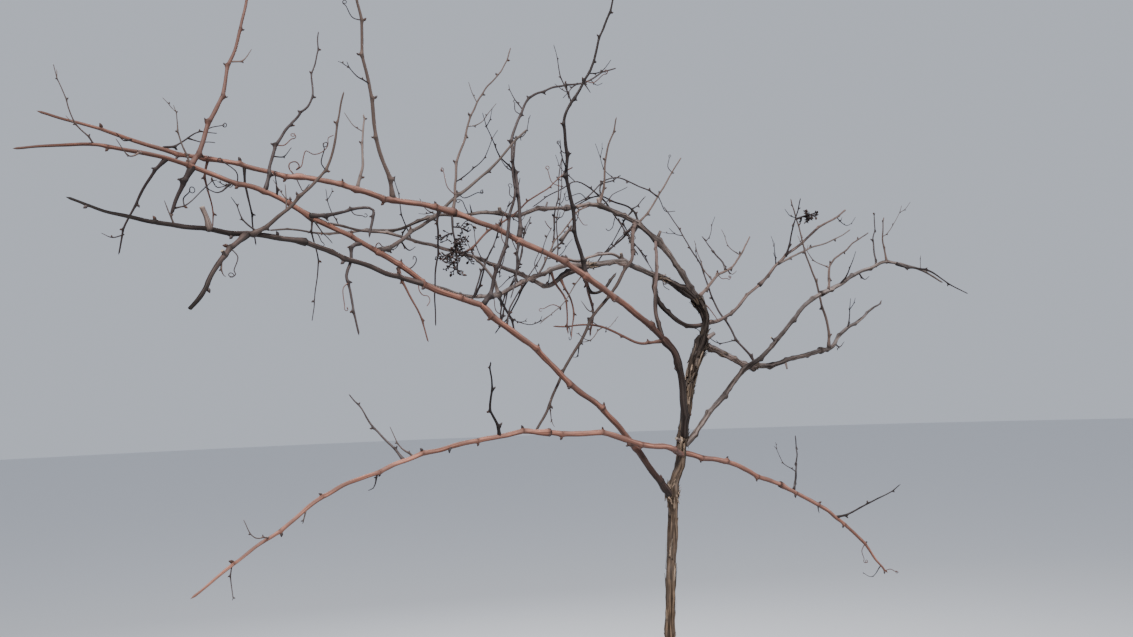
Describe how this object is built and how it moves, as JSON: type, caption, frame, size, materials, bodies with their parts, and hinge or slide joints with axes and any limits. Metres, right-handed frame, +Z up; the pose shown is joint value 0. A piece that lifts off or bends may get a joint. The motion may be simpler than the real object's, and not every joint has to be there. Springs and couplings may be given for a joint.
{
  "type": "grapevine",
  "caption": "Bare winter grapevine, unpruned: slender leaning trunk, knobbly head, spreading old arms and long canes with fine shoots, tendrils and dried cluster stems.",
  "frame": {"origin": "middle of the flat cut under the trunk, at ground level", "axes": "+X along the row, towards the right arm; +Y level across the row, away from the lower long cane; +Z up"},
  "size_m": [1.861, 0.417, 2.2904],
  "materials": {
    "trunk_bark": "rough grey-brown bark that peels in long fibrous strips",
    "arm_bark": "matt grey-brown old bark with fine lengthwise fibres",
    "cane_bark": "smooth terracotta-brown one-year bark, greyer on top, with fine streaks",
    "shoot_bark": "smooth tan-grey shoot bark with darker nodes",
    "dark_twig": "matt dark brown twig bark"
  },
  "bodies": {
    "root": {"trunk": "trunk_bark", "head_arm": "trunk_bark", "arch_arm_1": "arm_bark", "arch_arm_2": "arm_bark", "arch_arm_3": "arm_bark", "middle_arm": "arm_bark", "middle_fork_low": "arm_bark", "middle_fork_high": "arm_bark", "upper_cane_1": "cane_bark", "upper_cane_2": "cane_bark", "upper_cane_3": "cane_bark", "upper_cane_4": "cane_bark", "lower_cane_1": "cane_bark", "lower_cane_2": "cane_bark", "lower_cane_3": "cane_bark", "lower_cane_4": "cane_bark", "branch_cane": "cane_bark", "right_arm_1": "arm_bark", "right_arm_2": "arm_bark", "right_cane": "arm_bark", "cross_cane": "arm_bark", "link_cane": "arm_bark", "low_left_cane": "cane_bark", "low_right_cane": "cane_bark", "arch_end_twigs": "dark_twig", "arch_upright_twigs": "shoot_bark", "arch_hanging_twigs": "shoot_bark", "arch_lateral_twigs": "dark_twig", "arch_loop_twigs": "dark_twig", "middle_low_twigs": "dark_twig", "middle_high_twigs": "dark_twig", "tall_shoot_twigs": "dark_twig", "under_cane_twigs": "dark_twig", "upright_shoot_twigs": "dark_twig", "front_lateral_twigs": "dark_twig", "upper_cane_end_twigs": "shoot_bark", "red_lateral_twigs": "shoot_bark", "dark_shoot_twigs": "dark_twig", "slanting_shoot_twigs": "shoot_bark", "lower_cane_end_twigs": "dark_twig", "branch_cane_end_twigs": "shoot_bark", "right_arm_end_twigs": "shoot_bark", "thin_upright_twigs": "dark_twig", "right_cane_end_twigs": "shoot_bark", "cross_cane_end_twigs": "shoot_bark", "head_spur_twigs": "shoot_bark", "low_left_end_twigs": "dark_twig", "low_right_end_twigs": "dark_twig"}
  },
  "joints": []
}
